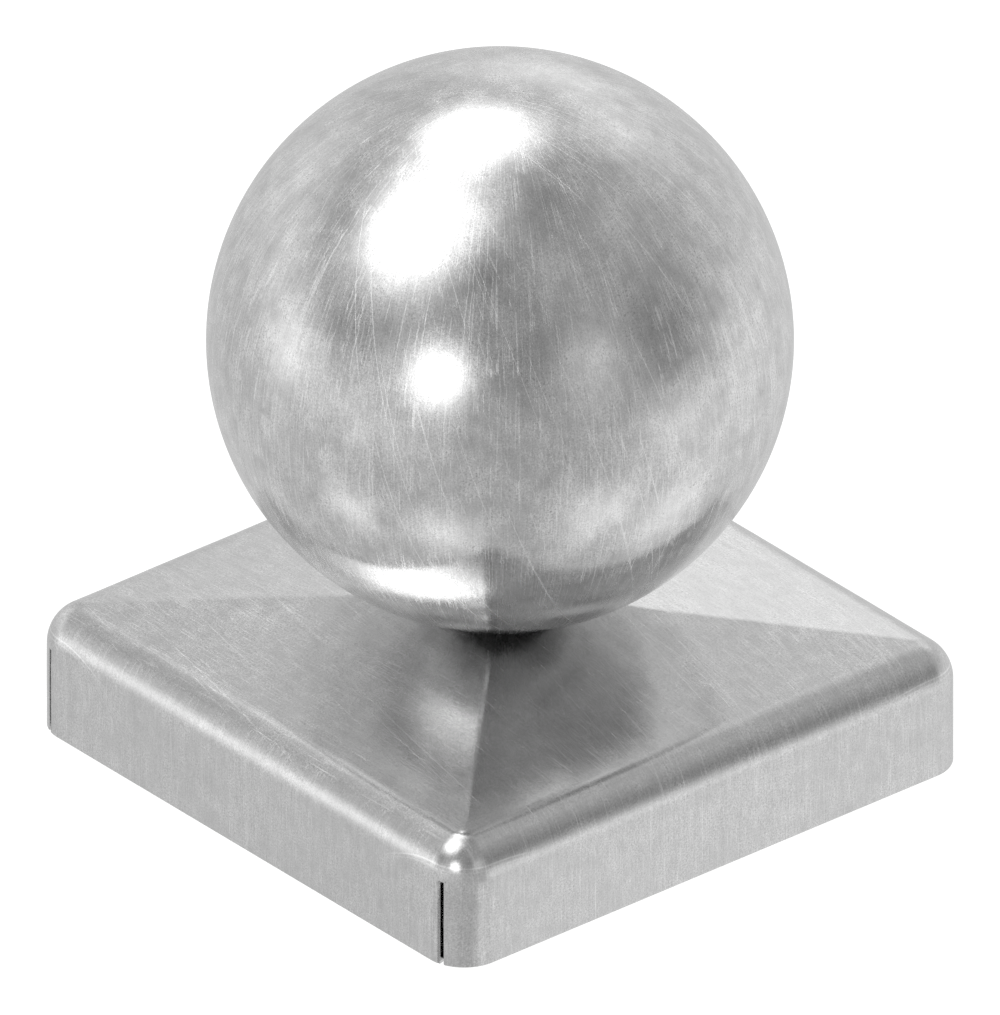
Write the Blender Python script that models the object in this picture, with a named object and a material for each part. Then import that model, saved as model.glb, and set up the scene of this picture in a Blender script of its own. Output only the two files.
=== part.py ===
"""Square post cap pressed from sheet steel, with a round ball seated on its low pyramid top.

The cap slips over a square timber post. Its origin is the middle of the rim plane, +Z is up, and the
front skirt faces -Y.
"""

import math

import bmesh
import bpy
from mathutils import Matrix, Vector

# Driving dimensions of the cap, in metres and degrees

OUTER_WIDTH = 0.091
SHEET_THICKNESS = 0.0015
BEND_RADIUS = 0.006
SKIRT_HEIGHT = 0.0129
ROOF_SLOPE = 7.0
SEAT_HALF_WIDTH = 0.0045

# Driving dimensions of the slits, each beside a corner, sawn from the rim to the top of the skirt

SLIT_WIDTH = 0.00045
SLIT_TURN = 19.0

# Driving dimensions of the ball

BALL_DIAMETER = 0.080
BALL_SINK = 0.0002
SEAT_CLEARANCE = 0.0003

# Facets of the round forms

CORNER_FACETS = 12
SHOULDER_FACETS = 10
BALL_COLUMNS = 72
BALL_ROWS = 36
SMOOTH_ANGLE = 30.0

# Colours of the two pieces, both bright galvanised steel

CAP_COLOUR = (0.52, 0.53, 0.54, 1.0)
BALL_COLOUR = (0.50, 0.51, 0.52, 1.0)
STEEL_ROUGHNESS = 0.32

# Sizes that follow from the driving ones

HALF_WIDTH = OUTER_WIDTH / 2
CORNER_CENTRE = HALF_WIDTH - BEND_RADIUS
SLOPE = math.radians(ROOF_SLOPE)
SHOULDER_SWEEP = math.pi / 2 - SLOPE


def remove_all_objects():
    """Empty the scene."""
    for old in list(bpy.data.objects):
        bpy.data.objects.remove(old, do_unlink=True)


def steel(name, colour):
    """A plain galvanised steel material."""
    material = bpy.data.materials.new(name)
    material.use_nodes = True
    shader = material.node_tree.nodes["Principled BSDF"]
    shader.inputs["Base Color"].default_value = colour
    shader.inputs["Metallic"].default_value = 1.0
    shader.inputs["Roughness"].default_value = STEEL_ROUGHNESS
    material.diffuse_color = colour
    return material


def add_piece(name, mesh_data, material, parent):
    """Turn a finished bmesh into a named, smooth-shaded object."""
    mesh = bpy.data.meshes.new(name)
    mesh_data.to_mesh(mesh)
    mesh_data.free()
    mesh.shade_smooth()
    mesh.set_sharp_from_angle(angle=math.radians(SMOOTH_ANGLE))
    mesh.materials.append(material)
    piece = bpy.data.objects.new(name, mesh)
    piece.parent = parent
    bpy.context.scene.collection.objects.link(piece)
    return piece


def rounded_square(bm, bend_radius, corner_radius, height):
    """One ring of vertices: a square with round corners, all about the fixed corner centres.

    bend_radius says how far the flat sides stand out from the corner centres.
    """
    corner = CORNER_CENTRE + bend_radius - corner_radius
    ring = []
    for quarter in range(4):
        start = quarter * math.pi / 2
        centre = Matrix.Rotation(start, 3, "Z") @ Vector((corner, corner, height))
        for step in range(CORNER_FACETS + 1):
            turn = start + step / CORNER_FACETS * math.pi / 2
            reach = Vector((math.cos(turn), math.sin(turn), 0.0)) * corner_radius
            ring.append(bm.verts.new(centre + reach))
    return ring


def skin_rings(bm, bend_radius):
    """The rings of one side of the sheet, from the rim over the shoulder to the seat.

    The outer side bends at the full bend radius, and the inner side at that radius less the sheet.
    """
    sides = [rounded_square(bm, bend_radius, bend_radius, 0.0)]
    for step in range(SHOULDER_FACETS + 1):
        rise = step / SHOULDER_FACETS * SHOULDER_SWEEP
        out = bend_radius * math.cos(rise)
        up = SKIRT_HEIGHT + bend_radius * math.sin(rise)
        sides.append(rounded_square(bm, out, out, up))
    hip_radius = bend_radius * math.cos(SHOULDER_SWEEP)
    seat_reach = SEAT_HALF_WIDTH - CORNER_CENTRE
    sides.append(rounded_square(bm, seat_reach, hip_radius, roof_height(bend_radius, SEAT_HALF_WIDTH)))
    return sides


def roof_height(bend_radius, distance):
    """Height of a roof face, at a distance from the middle, for the side that bends at this radius."""
    edge_distance = CORNER_CENTRE + bend_radius * math.cos(SHOULDER_SWEEP)
    edge_height = SKIRT_HEIGHT + bend_radius * math.sin(SHOULDER_SWEEP)
    return edge_height + (edge_distance - distance) * math.tan(SLOPE)


def join_rings(bm, lower, upper, inward=False):
    """Quads between two rings with the same number of vertices."""
    count = len(lower)
    for index in range(count):
        after = (index + 1) % count
        corners = [lower[index], lower[after], upper[after], upper[index]]
        bm.faces.new(reversed(corners) if inward else corners)


def cap_shell():
    """The pressed sheet: an outer skin, an inner skin, and the rim between them."""
    bm = bmesh.new()
    outer = skin_rings(bm, BEND_RADIUS)
    inner = skin_rings(bm, BEND_RADIUS - SHEET_THICKNESS)
    for lower, upper in zip(outer, outer[1:]):
        join_rings(bm, lower, upper)
    for lower, upper in zip(inner, inner[1:]):
        join_rings(bm, lower, upper, inward=True)
    join_rings(bm, outer[0], inner[0], inward=True)
    bm.faces.new(outer[-1])
    bm.faces.new(reversed(inner[-1]))
    return bm


def add_slit_cutter(side_x, side_y, parent):
    """A thin blade across the sheet, on the arc of one corner, next to the front or back skirt."""
    turn = math.radians(SLIT_TURN)
    radial = Vector((side_x * math.sin(turn), side_y * math.cos(turn), 0.0))
    middle_of_sheet = BEND_RADIUS - SHEET_THICKNESS / 2
    blade_length = 2 * SHEET_THICKNESS
    centre = Vector((side_x * CORNER_CENTRE, side_y * CORNER_CENTRE, 0.0)) + radial * middle_of_sheet
    bm = bmesh.new()
    bmesh.ops.create_cube(bm, size=1.0)
    bmesh.ops.scale(bm, vec=(blade_length, SLIT_WIDTH, 2 * SKIRT_HEIGHT), verts=bm.verts)
    mesh = bpy.data.meshes.new("slit_cutter")
    bm.to_mesh(mesh)
    bm.free()
    cutter = bpy.data.objects.new("slit_cutter", mesh)
    cutter.location = centre
    cutter.rotation_euler.z = math.atan2(radial.y, radial.x)
    cutter.parent = parent
    cutter.hide_render = True
    cutter.display_type = "WIRE"
    bpy.context.scene.collection.objects.link(cutter)
    return cutter


def build_cap(parent):
    """The cap with its four slits."""
    cap = add_piece("cap", cap_shell(), steel("cap_steel", CAP_COLOUR), parent)
    for side_x in (-1, 1):
        for side_y in (-1, 1):
            slit = cap.modifiers.new("slit", "BOOLEAN")
            slit.operation = "DIFFERENCE"
            slit.solver = "EXACT"
            slit.object = add_slit_cutter(side_x, side_y, parent)
    return cap


def build_ball(parent):
    """The ball, with the small flat by which it sits on the cap's seat."""
    radius = BALL_DIAMETER / 2
    seat_height = roof_height(BEND_RADIUS, SEAT_HALF_WIDTH)
    centre_height = seat_height - BALL_SINK + radius
    flat_height = seat_height + SEAT_CLEARANCE - centre_height
    bm = bmesh.new()
    bmesh.ops.create_uvsphere(bm, u_segments=BALL_COLUMNS, v_segments=BALL_ROWS, radius=radius)
    cut = bmesh.ops.bisect_plane(
        bm,
        geom=bm.verts[:] + bm.edges[:] + bm.faces[:],
        plane_co=(0.0, 0.0, flat_height),
        plane_no=(0.0, 0.0, 1.0),
        clear_inner=True,
    )
    rim = [element for element in cut["geom_cut"] if isinstance(element, bmesh.types.BMEdge)]
    bmesh.ops.edgeloop_fill(bm, edges=rim)
    bmesh.ops.recalc_face_normals(bm, faces=bm.faces)
    ball = add_piece("ball", bm, steel("ball_steel", BALL_COLOUR), parent)
    ball.location.z = centre_height
    return ball


def main():
    """Build both pieces under one empty at the origin."""
    remove_all_objects()
    post_cap = bpy.data.objects.new("post_cap", None)
    bpy.context.scene.collection.objects.link(post_cap)
    build_cap(post_cap)
    build_ball(post_cap)
    bpy.context.view_layer.update()


main()
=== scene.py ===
"""Looks of a ball post cap: a pressed cap and a round ball in bright galvanised steel, on a pale floor."""

import math

import bmesh
import bpy
from bpy.props import FloatProperty, FloatVectorProperty, IntProperty, PointerProperty
from mathutils import Matrix, Vector, noise


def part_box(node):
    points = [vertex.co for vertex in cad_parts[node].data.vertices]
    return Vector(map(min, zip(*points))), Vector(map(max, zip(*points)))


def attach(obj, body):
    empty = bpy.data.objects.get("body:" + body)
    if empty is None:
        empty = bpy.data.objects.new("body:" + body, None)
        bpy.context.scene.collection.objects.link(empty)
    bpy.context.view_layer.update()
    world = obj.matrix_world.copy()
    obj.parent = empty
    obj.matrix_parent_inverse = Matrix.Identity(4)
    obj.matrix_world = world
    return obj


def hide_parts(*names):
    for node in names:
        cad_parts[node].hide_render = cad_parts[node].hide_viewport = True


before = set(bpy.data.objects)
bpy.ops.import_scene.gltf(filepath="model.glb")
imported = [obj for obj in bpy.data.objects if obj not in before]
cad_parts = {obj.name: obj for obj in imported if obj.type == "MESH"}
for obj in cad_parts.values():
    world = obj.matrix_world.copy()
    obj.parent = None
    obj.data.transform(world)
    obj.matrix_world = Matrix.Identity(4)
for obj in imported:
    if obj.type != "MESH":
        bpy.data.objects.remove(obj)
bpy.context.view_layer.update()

bl_info = {
    "name": "Ball Post Cap",
    "version": (1, 0, 0),
    "blender": (4, 5, 0),
    "location": "3D View > Sidebar > Post Cap",
    "description": "Builds a galvanised ball post cap with its ball, stage and camera",
    "category": "Add Mesh",
}

# Sizes read from the frame, in metres

CAP_LOW, CAP_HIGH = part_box("cap")
BALL_LOW, BALL_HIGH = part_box("ball")
CAP_WIDTH = CAP_HIGH.x - CAP_LOW.x
SEAT_HEIGHT = CAP_HIGH.z
BALL_WIDTH = BALL_HIGH.x - BALL_LOW.x
BALL_TOP = BALL_HIGH.z
MILLIMETRE = 0.001

# Heights and reaches of the marks and of the painted crease highlights, in millimetres

GRAIN_TURN = 17.5
SIDE_SHIFT = 40.0
CORNER_REACH = 6.0
# Where the painted crease highlights lie round the corners
CREASE_HIGHLIGHT_HEIGHT = 15.2
CREASE_HIGHLIGHT_GAP = 0.55
CREASE_HIGHLIGHT_EDGES = (0.16, 0.05)
POLE_REACH = 2.0
CALM_REACH = 16.0

# Slow waves of the sheet: how many to the metre, share of the quick ones, metres in which they fade

SLOW_WAVES = 70.0
QUICK_WAVES = 190.0
QUICK_SHARE = 0.35
SEAT_FADE = 0.01
RIM_FADE = 0.006
WAVE_SEED = 1

# Angle from which an edge of the sheet counts as cut

CUT_ANGLE = math.radians(50.0)

# Lean of the crossing marks

CAP_CROSS_ANGLE = math.radians(101.0)
BALL_CROSS_TILT = (math.radians(-14.0), math.radians(12.0), 0.0)

class CapSizes(bpy.types.PropertyGroup):
    """Sizes of the pressed cap."""

    width: FloatProperty(
        name="Width", description="Outside width over two skirts", default=CAP_WIDTH, unit="LENGTH"
    )
    sheet: FloatProperty(
        name="Sheet", description="Thickness of the sheet", default=0.0015, unit="LENGTH"
    )
    bend: FloatProperty(
        name="Bend", description="Outside radius of corners and shoulders", default=0.006, unit="LENGTH"
    )
    skirt: FloatProperty(
        name="Skirt", description="Height of the straight skirt", default=0.0129, unit="LENGTH"
    )
    slope: FloatProperty(
        name="Roof slope",
        description="Slope of the roof faces",
        default=math.radians(7.0),
        subtype="ANGLE",
    )
    seat: FloatProperty(
        name="Seat", description="Half width of the level seat", default=0.0045, unit="LENGTH"
    )
    slit_width: FloatProperty(
        name="Slit width",
        description="Width of the saw cut beside a corner",
        default=0.00045,
        unit="LENGTH",
    )
    slit_turn: FloatProperty(
        name="Slit turn",
        description="Where the cut lies on the corner, from the front or back face",
        default=math.radians(19.0),
        subtype="ANGLE",
    )
    edge: FloatProperty(
        name="Edge round", description="Rounding of the cut edges", default=0.00018, unit="LENGTH"
    )
    wave: FloatProperty(
        name="Waviness",
        description="Height of the slow waves in the sheet",
        default=0.00004,
        unit="LENGTH",
    )
    corner_steps: IntProperty(name="Corner steps", description="Columns on each corner", default=24)
    side_steps: IntProperty(name="Side steps", description="Columns on each side", default=40)
    shoulder_steps: IntProperty(name="Shoulder steps", description="Rings over the shoulder", default=24)
    roof_steps: IntProperty(name="Roof steps", description="Rings over the roof", default=26)
    skirt_steps: IntProperty(name="Skirt steps", description="Rings up the skirt", default=8)


class BallSizes(bpy.types.PropertyGroup):
    """Sizes of the ball."""

    width: FloatProperty(
        name="Diameter", description="Diameter of the ball", default=BALL_WIDTH, unit="LENGTH"
    )
    columns: IntProperty(name="Columns", description="Columns round the ball", default=224)
    rows: IntProperty(name="Rows", description="Rows from pole to pole", default=112)


class SteelFinish(bpy.types.PropertyGroup):
    """Colour and surface of the galvanised steel."""

    cap_colour: FloatVectorProperty(
        name="Cap colour", description="Colour of the sheet", default=(0.74, 0.74, 0.74), subtype="COLOR"
    )
    ball_colour: FloatVectorProperty(
        name="Ball colour", description="Colour of the ball", default=(0.74, 0.74, 0.74), subtype="COLOR"
    )
    roughness: FloatProperty(
        name="Roughness",
        description="Roughness of the zinc between the marks",
        default=0.155,
        subtype="FACTOR",
    )
    tooth: FloatProperty(
        name="Tooth", description="Height of the fine grain", default=0.0000012, unit="LENGTH", precision=7
    )
    ripple: FloatProperty(
        name="Ripple",
        description="Height of the shallow ripples",
        default=0.00001,
        unit="LENGTH",
        precision=7,
    )


class StageSettings(bpy.types.PropertyGroup):
    """Camera and floor."""

    azimuth: FloatProperty(
        name="Azimuth",
        description="Camera's turn about the object",
        default=math.radians(50.0),
        subtype="ANGLE",
    )
    elevation: FloatProperty(
        name="Elevation", description="Camera's height angle", default=math.radians(30.0), subtype="ANGLE"
    )
    distance: FloatProperty(
        name="Distance", description="Distance of the camera", default=1.0, unit="LENGTH"
    )
    view_height: FloatProperty(
        name="View height", description="Height of what the camera sees", default=0.13804, unit="LENGTH"
    )
    view_middle: FloatProperty(
        name="View middle",
        description="Height at the middle of the picture",
        default=0.03675,
        unit="LENGTH",
    )
    floor_size: FloatProperty(
        name="Floor size", description="Width of the floor", default=60.0, unit="LENGTH"
    )


class Wire:
    """A shader socket that can stand in plain expressions, which add Math nodes."""

    def __init__(self, board, socket):
        self.board = board
        self.socket = socket

    def math(self, operation, *others):
        """A Math node on this socket and the others."""
        return self.board.math(operation, self, *others)

    def __add__(self, other):
        return self.math("ADD", other)

    def __radd__(self, other):
        return self.board.math("ADD", other, self)

    def __sub__(self, other):
        return self.math("SUBTRACT", other)

    def __rsub__(self, other):
        return self.board.math("SUBTRACT", other, self)

    def __mul__(self, other):
        return self.math("MULTIPLY", other)

    def __rmul__(self, other):
        return self.board.math("MULTIPLY", other, self)

    def __truediv__(self, other):
        return self.math("DIVIDE", other)

    def __rtruediv__(self, other):
        return self.board.math("DIVIDE", other, self)

    def __pow__(self, other):
        return self.math("POWER", other)

    def __rpow__(self, other):
        return self.board.math("POWER", other, self)

    def __abs__(self):
        return self.math("ABSOLUTE")


class Outputs:
    """The outputs of a node, by name."""

    def __init__(self, board, node):
        self.board = board
        self.node = node

    def __getitem__(self, name):
        return Wire(self.board, self.node.outputs[name])


class Board:
    """A node tree under construction."""

    def __init__(self, tree):
        self.tree = tree
        tree.nodes.clear()

    def add(self, kind, settings=None, values=None):
        """Add any node: its type, its settings, then the values or wires of its sockets."""
        node = self.tree.nodes.new(kind)
        for name, value in (settings or {}).items():
            setattr(node, name, value)
        for name, value in (values or {}).items():
            if isinstance(value, Wire):
                self.tree.links.new(value.socket, node.inputs[name])
            else:
                node.inputs[name].default_value = value
        return Outputs(self, node)

    def math(self, operation, *terms):
        """A Math node on numbers and wires."""
        return self.add("ShaderNodeMath", {"operation": operation}, dict(enumerate(terms)))["Value"]

    def vector(self, x, y, z):
        """A vector from its three parts."""
        return self.add("ShaderNodeCombineXYZ", None, {"X": x, "Y": y, "Z": z})["Vector"]

    def parts(self, vector):
        """The three parts of a vector."""
        split = self.add("ShaderNodeSeparateXYZ", None, {"Vector": vector})
        return split["X"], split["Y"], split["Z"]

    def scaled(self, vector, factor):
        """A vector or a colour times a number."""
        values = {0: vector, "Scale": factor}
        return self.add("ShaderNodeVectorMath", {"operation": "SCALE"}, values)["Vector"]

    def dot(self, vector, other):
        """How far two unit vectors agree, from -1 to 1."""
        values = {0: vector, 1: other}
        return self.add("ShaderNodeVectorMath", {"operation": "DOT_PRODUCT"}, values)["Value"]

    def ramp(self, value, low, high, to_low=0.0, to_high=1.0):
        """A smooth step of a value from one range to another."""
        values = {"Value": value, "From Min": low, "From Max": high, "To Min": to_low, "To Max": to_high}
        return self.add("ShaderNodeMapRange", {"interpolation_type": "SMOOTHSTEP"}, values)["Result"]

    def mix(self, factor, low, high):
        """A number between two others."""
        values = {"Factor": factor, "A": low, "B": high}
        return self.add("ShaderNodeMix", {"data_type": "FLOAT"}, values)["Result"]

    def bump(self, height, distance, under=None):
        """The normal of a bumpy surface, over another such normal where one is given."""
        values = {"Strength": 1.0, "Distance": distance, "Height": height}
        if under is not None:
            values["Normal"] = under
        return self.add("ShaderNodeBump", None, values)["Normal"]


def new_material(name):
    """An empty material and the board for its nodes."""
    material = bpy.data.materials.new(name)
    material.use_nodes = True
    return material, Board(material.node_tree)


def noise_layer(board, place, scales, detail=1.0, roughness=0.5, shift=0.0):
    """Noise about zero, from about -1 to 1, whose three parts of the place are scaled one by one."""
    x, y, z = board.parts(place)
    across, beside, along = scales
    values = {
        "Vector": board.vector(x * across + shift, y * beside + shift, z * along + shift),
        "Scale": 1.0,
        "Detail": detail,
        "Roughness": roughness,
    }
    return board.add("ShaderNodeTexNoise", {"noise_dimensions": "3D"}, values)["Fac"] * 2.0 - 1.0


def scratches(board, place, scales, shift, low, high):
    """Thin long lines at the crests of a stretched noise; the shift may vary, which bends them."""
    return board.ramp(noise_layer(board, place, scales, 0.0, 0.5, shift), low, high)


def streaks(look, across, along):
    """Scales of a noise that is drawn out along the grain."""
    return [across if part else along for part in look["stretch"]]


def scratch_marks(board, sheet, crossed, brush, mottle, look):
    """Short bent hairs and long thin lines, each along the grain and across it."""
    bent = mottle * look["bend"]
    hairs = scratches(board, sheet, streaks(look, 4.6, 0.15), bent + 41.0, 0.2, 0.55)
    crossing = scratches(board, crossed, streaks(look, 4.0, 0.10), bent + 53.0, 0.25, 0.6)
    hairs = hairs + crossing * board.ramp(brush, 0.1, -0.2)
    lines = scratches(board, sheet, streaks(look, 3.4, 0.03), 17.0, 0.38, 0.62)
    lines = lines * board.ramp(mottle, -0.2, 0.2)
    lines = lines + scratches(board, crossed, streaks(look, 3.0, 0.025), 23.0, 0.4, 0.65)
    return hairs * look["hairs"] + lines * look["lines"]


def galvanised(name, colour, finish, look):
    """Satin zinc: cloudy tone, fine tooth, short brushed grain and thin scratches, which are also duller.

    look holds the functions that place the marks and the painted crease highlights, and the numbers that
    set them. Below its height "calm" the marks fall to half their strength.
    """
    material, board = new_material(name)
    place = board.scaled(board.add("ShaderNodeTexCoord")["Object"], 1.0 / MILLIMETRE)
    sheet = look["grain"](board, place)
    crossed = look["cross"](board, place)
    clouds = noise_layer(board, place, (0.07, 0.07, 0.07), 3.0, 0.6)
    mottle = noise_layer(board, place, [look["blotch"]] * 3, 2.0, 0.6)
    speck = noise_layer(board, place, (3.8, 3.8, 3.8), 1.0, 0.8)
    grain = noise_layer(board, sheet, streaks(look, 4.2, 0.35), 1.0, 0.6, 4.0)
    brush = noise_layer(board, sheet, streaks(look, 1.1, 0.06), 1.0, 0.6, 9.0)
    scratched = scratch_marks(board, sheet, crossed, brush, mottle, look)
    patch = board.ramp(clouds + mottle * 0.6, -0.25, 0.25, 0.6, 1.2)
    pits = board.ramp(speck, -0.15, -0.5) * board.ramp(mottle - clouds, -0.1, 0.3)
    wide = clouds * 0.08 + mottle * look["clouds"] + brush * look["brush"]
    fine = (speck * look["speck"] + grain * look["streak"]) * patch
    marks = scratched - pits * look["pits"]
    handled = board.ramp(board.parts(place)[2], look["calm"], look["calm"] + CALM_REACH, 0.5, 1.0)
    # The draw entry paints light crease highlights into the colour round the cap's corners
    tone = 1.0 + (wide + fine + marks) * handled + look["draw"](board, place) * 0.25
    rough = finish.roughness + clouds * 0.03 + mottle * 0.05 + speck * 0.04 + scratched * 0.8
    tooth = board.bump(speck * 1.6 + grain, finish.tooth)
    values = {
        "Base Color": board.scaled((*colour,), tone),
        "Metallic": 1.0,
        "Roughness": rough,
        "Normal": board.bump(mottle, finish.ripple, tooth),
    }
    zinc = board.add("ShaderNodeBsdfPrincipled", None, values)["BSDF"]
    board.add("ShaderNodeOutputMaterial", None, {"Surface": zinc})
    return material


def cap_grain(board, place):
    """Place on the cap, with the grain down the skirts and along X over the roof."""
    x, y, z = board.parts(place)
    above = z.math("GREATER_THAN", GRAIN_TURN)
    on_side = abs(x).math("GREATER_THAN", abs(y))
    across = board.mix(above, board.mix(on_side, x, y), y)
    along = board.mix(above, z + on_side * SIDE_SHIFT, x)
    return board.vector(across, along, board.mix(above, board.mix(on_side, y, x), 0.0))


def cap_cross(board, place):
    """Place on the cap for marks a little askew of the grain, over the roof and down the skirts."""
    values = {"Vector": place, "Angle": CAP_CROSS_ANGLE}
    return board.add("ShaderNodeVectorRotate", {"rotation_type": "Z_AXIS"}, values)["Vector"]


def crease_highlight_lines(board, place):
    """Painted highlights: a fine light line round each corner where the crease of the sheet would catch
    the light, with a fainter one below it.
    """
    x, y, z = board.parts(place)
    straight = CAP_WIDTH / 2 / MILLIMETRE - CORNER_REACH
    along_front = (straight - abs(x)).math("MAXIMUM", 0.0)
    along_side = (straight - abs(y)).math("MAXIMUM", 0.0)
    fall = along_front * along_front * 0.03 + along_side * along_side * 0.01
    below = CREASE_HIGHLIGHT_HEIGHT - fall - z
    upper = board.ramp(abs(below), *CREASE_HIGHLIGHT_EDGES)
    lower = board.ramp(abs(below - CREASE_HIGHLIGHT_GAP), *CREASE_HIGHLIGHT_EDGES)
    near = board.ramp(along_front, 11.0, 5.0) * board.ramp(along_side, 9.0, 4.0)
    return (upper + lower * 0.4) * near


def no_crease_highlight(board, place):
    """Nothing, for a piece without painted crease highlights."""
    return 0.0


def ball_grain(board, place):
    """Place on the ball, with the grain along its meridians."""
    x, y, z = board.parts(place)
    reach = (x * x + y * y + POLE_REACH ** 2) ** 0.5
    spread = BALL_WIDTH / 2 / MILLIMETRE
    return board.vector(x / reach * spread, y / reach * spread, z)


def ball_cross(board, place):
    """Place on the ball for marks that cross the grain at a slant."""
    values = {"Vector": place, "Rotation": BALL_CROSS_TILT}
    leaning = board.add("ShaderNodeVectorRotate", {"rotation_type": "EULER_XYZ"}, values)["Vector"]
    return ball_grain(board, leaning)


# What each piece shows of the marks and of the painted crease highlights: how they run, their scales, and
# their strengths

CAP_LOOK = {
    "grain": cap_grain,
    "cross": cap_cross,
    # draw: painted highlights along the creases round the corners, put into the colour
    "draw": crease_highlight_lines,
    "bend": 0.4,
    "blotch": 0.35,
    "calm": -40.0,
    "stretch": (1, 0, 0),
    "speck": 0.36,
    "streak": 0.12,
    "clouds": 0.12,
    "brush": 0.07,
    "hairs": 0.09,
    "lines": 0.08,
    "pits": 0.05,
}
BALL_LOOK = {
    "grain": ball_grain,
    "cross": ball_cross,
    "draw": no_crease_highlight,
    "bend": 1.2,
    "blotch": 0.27,
    "calm": -36.0,
    "stretch": (1, 1, 0),
    "speck": 0.38,
    "streak": 0.16,
    "clouds": 0.29,
    "brush": 0.10,
    "hairs": 0.17,
    "lines": 0.20,
    "pits": 0.20,
}


def finish_mesh(name, bm, material, node):
    """Make a smooth-shaded object that stands for a node of the frame."""
    mesh = bpy.data.meshes.new(name)
    bm.to_mesh(mesh)
    bm.free()
    mesh.shade_smooth()
    mesh.materials.append(material)
    piece = bpy.data.objects.new(name, mesh)
    bpy.context.scene.collection.objects.link(piece)
    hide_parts(node)
    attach(piece, "root")
    return piece


def corner_turns(sizes):
    """Angles of the columns on one corner, with a pair at the edges of each slit."""
    half_slit = math.asin(sizes.slit_width / 2 / (sizes.bend - sizes.sheet / 2))
    edges = [sizes.slit_turn - half_slit, sizes.slit_turn + half_slit]
    plain = [step / sizes.corner_steps * math.pi / 2 for step in range(sizes.corner_steps + 1)]
    gap = math.pi / 2 / sizes.corner_steps * 0.4
    kept = [turn for turn in plain if all(abs(turn - edge) > gap for edge in edges)]
    kept = [turn for turn in kept if not edges[0] < turn < edges[1]]
    return sorted(kept + edges), edges


def column_plan(sizes):
    """The columns round the cap: (quarter, turn on the corner) or (quarter, share of the side).

    Also the set of columns after which a slit opens.
    """
    turns, edges = corner_turns(sizes)
    plan = []
    slits = []
    for quarter in range(4):
        # The slit lies at the start of odd quarters and at the end of even ones
        mirrored = quarter % 2 == 0
        quarter_turns = [math.pi / 2 - turn for turn in reversed(turns)] if mirrored else turns
        opening = math.pi / 2 - edges[1] if mirrored else edges[0]
        for turn in quarter_turns:
            if abs(turn - opening) < 1e-9:
                slits.append(len(plan))
            plan.append((quarter, turn, None))
        for step in range(1, sizes.side_steps):
            plan.append((quarter, math.pi / 2, step / sizes.side_steps))
    return plan, slits


def ring_points(plan, half, corner_radius, height):
    """Points of one ring of the cap: a square with round corners, half wide, at a height."""
    inset = half - corner_radius
    points = []
    for quarter, turn, share in plan:
        swing = Matrix.Rotation(quarter * math.pi / 2, 3, "Z")
        if share is None:
            point = Vector(
                (inset + corner_radius * math.cos(turn), inset + corner_radius * math.sin(turn), height)
            )
        else:
            point = Vector((inset - 2 * inset * share, half, height))
        points.append(swing @ point)
    return points


def skin_profile(sizes, bend):
    """Rings of one side of the sheet, rim first: half width, corner radius and height."""
    centre = sizes.width / 2 - sizes.bend
    sweep = math.pi / 2 - sizes.slope
    profile = []
    for step in range(sizes.skirt_steps):
        profile.append((centre + bend, bend, sizes.skirt * step / sizes.skirt_steps))
    for step in range(sizes.shoulder_steps + 1):
        rise = sweep * step / sizes.shoulder_steps
        profile.append(
            (centre + bend * math.cos(rise), bend * math.cos(rise), sizes.skirt + bend * math.sin(rise))
        )
    edge_half, hip_radius, edge_height = profile[-1]
    for step in range(1, sizes.roof_steps + 1):
        share = step / sizes.roof_steps
        half = edge_half + (sizes.seat - edge_half) * share
        profile.append((half, hip_radius, edge_height + (edge_half - half) * math.tan(sizes.slope)))
    return profile


def wave_shift(point, sizes):
    """The slow unevenness of pressed sheet, which fades out at the seat and the rim."""
    reach = max(abs(point.x), abs(point.y))
    fade = min(1.0, max(0.0, (reach - sizes.seat) / SEAT_FADE)) * min(1.0, point.z / RIM_FADE)
    slow = noise.noise_vector(point * SLOW_WAVES)
    quick = noise.noise_vector(point * QUICK_WAVES)
    return (slow + quick * QUICK_SHARE) * sizes.wave * fade


def add_skin(bm, rings, slits, slit_top, inward):
    """Faces of one side of the sheet, with its level top, left open at the slits up to their top ring."""
    count = len(rings[0])
    for level in range(len(rings) - 1):
        for index in range(count):
            if index in slits and level < slit_top:
                continue
            after = (index + 1) % count
            quad = [rings[level][index], rings[level][after]]
            quad += [rings[level + 1][after], rings[level + 1][index]]
            bm.faces.new(reversed(quad) if inward else quad)
    bm.faces.new(reversed(rings[-1]) if inward else rings[-1])


def add_rim(bm, outer, inner, slits):
    """Faces between the two skins along the rim."""
    count = len(outer[0])
    for index in range(count):
        if index not in slits:
            after = (index + 1) % count
            bm.faces.new((outer[0][after], outer[0][index], inner[0][index], inner[0][after]))


def add_slit_walls(bm, outer, inner, slits, slit_top):
    """Faces between the two skins on both sides of each slit and at its top."""
    count = len(outer[0])
    for index in slits:
        after = (index + 1) % count
        for level in range(slit_top):
            near = [outer[level][index], outer[level + 1][index]]
            bm.faces.new(near + [inner[level + 1][index], inner[level][index]])
            far = [outer[level + 1][after], outer[level][after]]
            bm.faces.new(far + [inner[level][after], inner[level + 1][after]])
        top_edge = [outer[slit_top][index], outer[slit_top][after]]
        bm.faces.new(top_edge + [inner[slit_top][after], inner[slit_top][index]])


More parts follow.
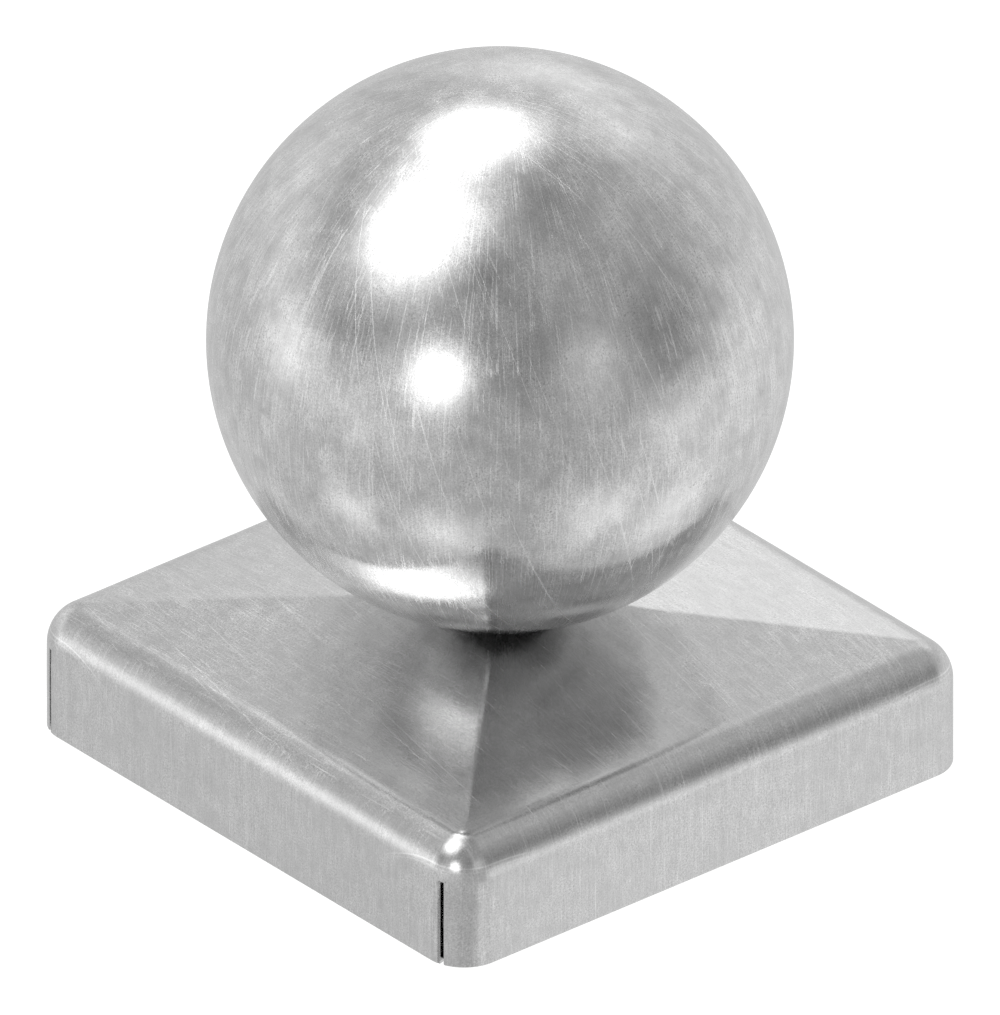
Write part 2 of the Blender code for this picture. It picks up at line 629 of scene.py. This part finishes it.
def build_cap_mesh(sizes):
    """The whole sheet as one closed mesh, with open slits."""
    bm = bmesh.new()
    plan, slits = column_plan(sizes)
    skins = []
    for bend in (sizes.bend, sizes.bend - sizes.sheet):
        rings = []
        for half, corner_radius, height in skin_profile(sizes, bend):
            rings.append([bm.verts.new(point) for point in ring_points(plan, half, corner_radius, height)])
        skins.append(rings)
    outer, inner = skins
    add_skin(bm, outer, slits, sizes.skirt_steps, inward=False)
    add_skin(bm, inner, slits, sizes.skirt_steps, inward=True)
    add_rim(bm, outer, inner, slits)
    add_slit_walls(bm, outer, inner, slits, sizes.skirt_steps)
    bmesh.ops.recalc_face_normals(bm, faces=bm.faces)
    noise.seed_set(WAVE_SEED)
    for vertex in bm.verts:
        vertex.co += wave_shift(vertex.co, sizes)
    return bm


class POSTCAP_OT_cap(bpy.types.Operator):
    """Build the pressed cap over its solid"""

    bl_idname = "postcap.cap"
    bl_label = "Pressed Cap"

    def execute(self, context):
        sizes = context.scene.postcap_cap
        finish = context.scene.postcap_steel
        bm = build_cap_mesh(sizes)
        material = galvanised("cap_steel", finish.cap_colour, finish, CAP_LOOK)
        cap = finish_mesh("cap_sheet", bm, material, "cap")
        round_edges = cap.modifiers.new("cut_edges", "BEVEL")
        round_edges.width = sizes.edge
        round_edges.segments = 2
        round_edges.limit_method = "ANGLE"
        round_edges.angle_limit = CUT_ANGLE
        round_edges.use_clamp_overlap = False
        round_edges.harden_normals = True
        return {"FINISHED"}


class POSTCAP_OT_ball(bpy.types.Operator):
    """Build the ball, seated on the cap"""

    bl_idname = "postcap.ball"
    bl_label = "Ball"

    def execute(self, context):
        sizes = context.scene.postcap_ball
        finish = context.scene.postcap_steel
        radius = sizes.width / 2
        centre = Vector((0.0, 0.0, BALL_TOP - radius))
        bm = bmesh.new()
        bmesh.ops.create_uvsphere(bm, u_segments=sizes.columns, v_segments=sizes.rows, radius=radius)
        cut = bmesh.ops.bisect_plane(
            bm,
            geom=bm.verts[:] + bm.edges[:] + bm.faces[:],
            plane_co=(0.0, 0.0, SEAT_HEIGHT - centre.z),
            plane_no=(0.0, 0.0, 1.0),
            clear_inner=True,
        )
        rim = [element for element in cut["geom_cut"] if isinstance(element, bmesh.types.BMEdge)]
        bmesh.ops.edgeloop_fill(bm, edges=rim)
        bmesh.ops.recalc_face_normals(bm, faces=bm.faces)
        material = galvanised("ball_steel", finish.ball_colour, finish, BALL_LOOK)
        ball = finish_mesh("ball_shell", bm, material, "ball")
        ball.location = centre
        return {"FINISHED"}


# Light and dark spots that the ball mirrors: turn from the camera, height, spread, strength

GLOWS = {
    "panel over the left": (-72, 57, 12.0, 3.4),
    "panel over the back": (-167, 59, 8.8, 4.2),
    "bridge between the panels": (-112, 68, 11.5, 0.92),
    "edge of the left panel": (-24, 77, 7, 0.2),
    "small lamp in front": (-24.8, 13.2, 6.4, 3.6),
    "glow on the left": (-89, -2.5, 9.8, 0.72),
    "floor glow, far left": (-71, -47, 5.7, 0.63),
    "floor glow, left": (-26, -53, 6.5, 0.67),
    "floor glow, right": (45, -45, 7.8, 0.68),
    "floor glow, far right": (86, -48, 7.0, 0.61),
    "low glow on the right": (70, -18, 9, 0.38),
    "glow on the right": (37, 16, 10, 0.37),
    "glow at the back right": (148, 33, 11.0, 0.50),
    "glow at the back left": (-140, 14, 12.2, 0.29),
    "glow at the back": (173, 17, 10.0, 0.56),
    "glow above the left": (-112, 12, 11, 0.32),
    "wide glow, left": (-50, -5, 19.3, 0.38),
    "wide glow, right": (99, -20, 18.5, 0.30),
    "rim glow, right": (136, -13, 19, 0.13),
    "glow low on the right": (52, -14, 8, 0.09),
    "dim zone, right": (76, 8, 15, -0.30),
    "dim zone, over the lamp": (-65, 17, 10.8, -0.28),
    "dim zone, front": (17, 20, 12.8, -0.17),
    "dim zone, low left": (-46, -29, 8, -0.10),
    "dim zone, back": (168, 36, 9, -0.13),
    "dim zone, back left above": (-138, 37, 8, -0.08),
    "dim zone, left low": (-79, -18, 6, -0.10),
    "lit spot, far left": (-134, -40, 8, 0.10),
    "dim zone, back left": (-160, 14, 6, -0.11),
    "dim zone, left": (-84, 18, 8, -0.09),
    "dim zone, by the left panel": (-107, 38, 8, -0.17),
    "dim zone, under the left panel": (-16, 57, 8, -0.18),
    "dim spot by the small lamp": (-44, 0, 6, -0.12),
    "lit spot above": (34, 52, 9, 0.08),
    "lit spot above, right": (92, 52, 8, 0.09),
    "lit spot, low left": (-101, -30, 7, 0.10),
    "dim spot above": (87, 72, 9, -0.10),
}

# Size of the tent in metres, and its even light

TENT_RADIUS = 0.6
LIGHT_LEVEL = 0.75
ROOM_LEVEL = 0.704
ROOM_RISE = -0.047
ROOM_FRONT = -0.153
ROOM_TILT = -0.079

# Floor and the plate of painted shade, just under the rim, in metres, and the shade's inset in thicknesses
# of the sheet

FLOOR_HEIGHT = -0.00005
SHADE_HEIGHT = -0.00002
SHADE_INSET = 1.1

# Colours of the stage

WHITE = (1.0, 1.0, 1.0, 1.0)
FLOOR_GREY = (0.2, 0.2, 0.2, 1.0)
# Near-black of the plate that paints the shade under the cap
SHADE_GREY = (0.02, 0.02, 0.02, 1.0)


def direction(azimuth, elevation):
    """A unit vector from a turn and a height, in radians, with the front at -Y."""
    level = math.cos(elevation)
    return Vector((math.sin(azimuth) * level, -math.cos(azimuth) * level, math.sin(elevation)))


def add_stage_piece(name, bm, material, height):
    """Make a mesh object that belongs to the stage."""
    mesh = bpy.data.meshes.new(name)
    bm.to_mesh(mesh)
    bm.free()
    mesh.materials.append(material)
    piece = bpy.data.objects.new(name, mesh)
    piece.location.z = height
    bpy.context.scene.collection.objects.link(piece)
    return piece


def build_world():
    """A plain white background."""
    world = bpy.data.worlds.new("studio")
    world.use_nodes = True
    bpy.context.scene.world = world
    board = Board(world.node_tree)
    white = board.add("ShaderNodeBackground", None, {"Color": WHITE, "Strength": 1.0})
    board.add("ShaderNodeOutputWorld", None, {"Surface": white["Background"]})


def seen_on_tent(towards, camera_side):
    """The direction, from the tent's middle, of the spot that the ball mirrors at a given direction."""
    radius = BALL_WIDTH / 2
    mirror = (towards + camera_side).normalized() * radius
    along = mirror.dot(towards)
    reach = math.sqrt(along ** 2 + TENT_RADIUS ** 2 - radius ** 2) - along
    return (mirror + towards * reach).normalized()


def tent_light(settings):
    """The tent's material: the room's even light, and the lamps, glows and dim zones on it."""
    material, board = new_material("tent_light")
    material.cycles.emission_sampling = "NONE"
    place = board.add("ShaderNodeTexCoord")["Object"]
    towards = board.add("ShaderNodeVectorMath", {"operation": "NORMALIZE"}, {0: place})["Vector"]
    camera_side = direction(settings.azimuth, settings.elevation)
    height = board.parts(towards)[2]
    front = board.dot(towards, camera_side)
    light = ROOM_LEVEL + height * ROOM_RISE + front * ROOM_FRONT + abs(height) * ROOM_TILT
    for turn, rise, spread, strength in GLOWS.values():
        centre = direction(settings.azimuth + math.radians(turn), math.radians(rise))
        apart = board.dot(towards, seen_on_tent(centre, camera_side)) - 1.0
        sharpness = 1.0 / math.radians(spread) ** 2
        light = light + (apart * sharpness).math("EXPONENT") * strength
    lit = board.add("ShaderNodeEmission", None, {"Color": board.scaled(WHITE[:3], light * LIGHT_LEVEL)})
    board.add("ShaderNodeOutputMaterial", None, {"Surface": lit["Emission"]})
    return material


def build_tent(settings):
    """A light tent about the ball: a pale sphere, unseen by the camera, with soft lamps and glows."""
    bm = bmesh.new()
    bmesh.ops.create_icosphere(bm, subdivisions=5, radius=TENT_RADIUS)
    tent = add_stage_piece("tent", bm, tent_light(settings), BALL_TOP - BALL_WIDTH / 2)
    tent.visible_camera = False


def build_floor(settings):
    """A plain pale floor that takes only a faint shadow."""
    bm = bmesh.new()
    bmesh.ops.create_grid(bm, x_segments=1, y_segments=1, size=settings.floor_size / 2)
    material, board = new_material("floor_white")
    matt = board.add("ShaderNodeBsdfDiffuse", None, {"Color": FLOOR_GREY})
    glow = board.add("ShaderNodeEmission", None, {"Color": WHITE, "Strength": 1.0})
    both = board.add("ShaderNodeAddShader", None, {0: matt["BSDF"], 1: glow["Emission"]})
    board.add("ShaderNodeOutputMaterial", None, {"Surface": both["Shader"]})
    floor = add_stage_piece("floor", bm, material, FLOOR_HEIGHT)
    floor.visible_glossy = False


def build_shade(sizes):
    """Painted shade: a near-black plate over the glowing floor inside the cap, which stands for the shade
    there.
    """
    bm = bmesh.new()
    inset = sizes.sheet * SHADE_INSET
    outline = ring_points(column_plan(sizes)[0], sizes.width / 2 - inset, sizes.bend - inset, 0.0)
    bm.faces.new([bm.verts.new(point) for point in outline])
    # The plate's near-black colour paints the shade inside the cap
    material, board = new_material("floor_dark")
    matt = board.add("ShaderNodeBsdfDiffuse", None, {"Color": SHADE_GREY})
    board.add("ShaderNodeOutputMaterial", None, {"Surface": matt["BSDF"]})
    add_stage_piece("floor_shade", bm, material, SHADE_HEIGHT)


def build_camera(settings):
    """The camera, in parallel view, aimed at the object's middle and framed a little below it."""
    camera_data = bpy.data.cameras.new("camera")
    camera_data.type = "ORTHO"
    camera_data.ortho_scale = settings.view_height
    middle = BALL_TOP / 2
    drop = (middle - settings.view_middle) * math.cos(settings.elevation)
    camera_data.shift_y = -drop / settings.view_height
    camera = bpy.data.objects.new("camera", camera_data)
    away = direction(settings.azimuth, settings.elevation)
    camera.location = Vector((0.0, 0.0, middle)) + away * settings.distance
    camera.rotation_euler = away.to_track_quat("Z", "Y").to_euler()
    bpy.context.scene.collection.objects.link(camera)
    bpy.context.scene.camera = camera


class POSTCAP_OT_stage(bpy.types.Operator):
    """Build the floor, the light and the camera"""

    bl_idname = "postcap.stage"
    bl_label = "Stage"

    def execute(self, context):
        settings = context.scene.postcap_stage
        context.scene.view_settings.view_transform = "Standard"
        build_world()
        build_tent(settings)
        build_floor(settings)
        build_shade(context.scene.postcap_cap)
        build_camera(settings)
        return {"FINISHED"}


class POSTCAP_PT_panel(bpy.types.Panel):
    """The operators, in the 3D view's sidebar"""

    bl_label = "Ball Post Cap"
    bl_space_type = "VIEW_3D"
    bl_region_type = "UI"
    bl_category = "Post Cap"

    def draw(self, context):
        for operator in OPERATORS:
            self.layout.operator(operator.bl_idname)


GROUPS = {
    "postcap_cap": CapSizes,
    "postcap_ball": BallSizes,
    "postcap_steel": SteelFinish,
    "postcap_stage": StageSettings,
}
OPERATORS = (POSTCAP_OT_cap, POSTCAP_OT_ball, POSTCAP_OT_stage)
CLASSES = (*GROUPS.values(), *OPERATORS, POSTCAP_PT_panel)


def register():
    """Register the classes and their settings."""
    for item in CLASSES:
        bpy.utils.register_class(item)
    for name, group in GROUPS.items():
        setattr(bpy.types.Scene, name, PointerProperty(type=group))


def unregister():
    """Take the classes and their settings away again."""
    for name in GROUPS:
        delattr(bpy.types.Scene, name)
    for item in reversed(CLASSES):
        bpy.utils.unregister_class(item)


def main():
    """Build everything."""
    register()
    bpy.ops.postcap.cap()
    bpy.ops.postcap.ball()
    bpy.ops.postcap.stage()


if __name__ == "__main__":
    main()
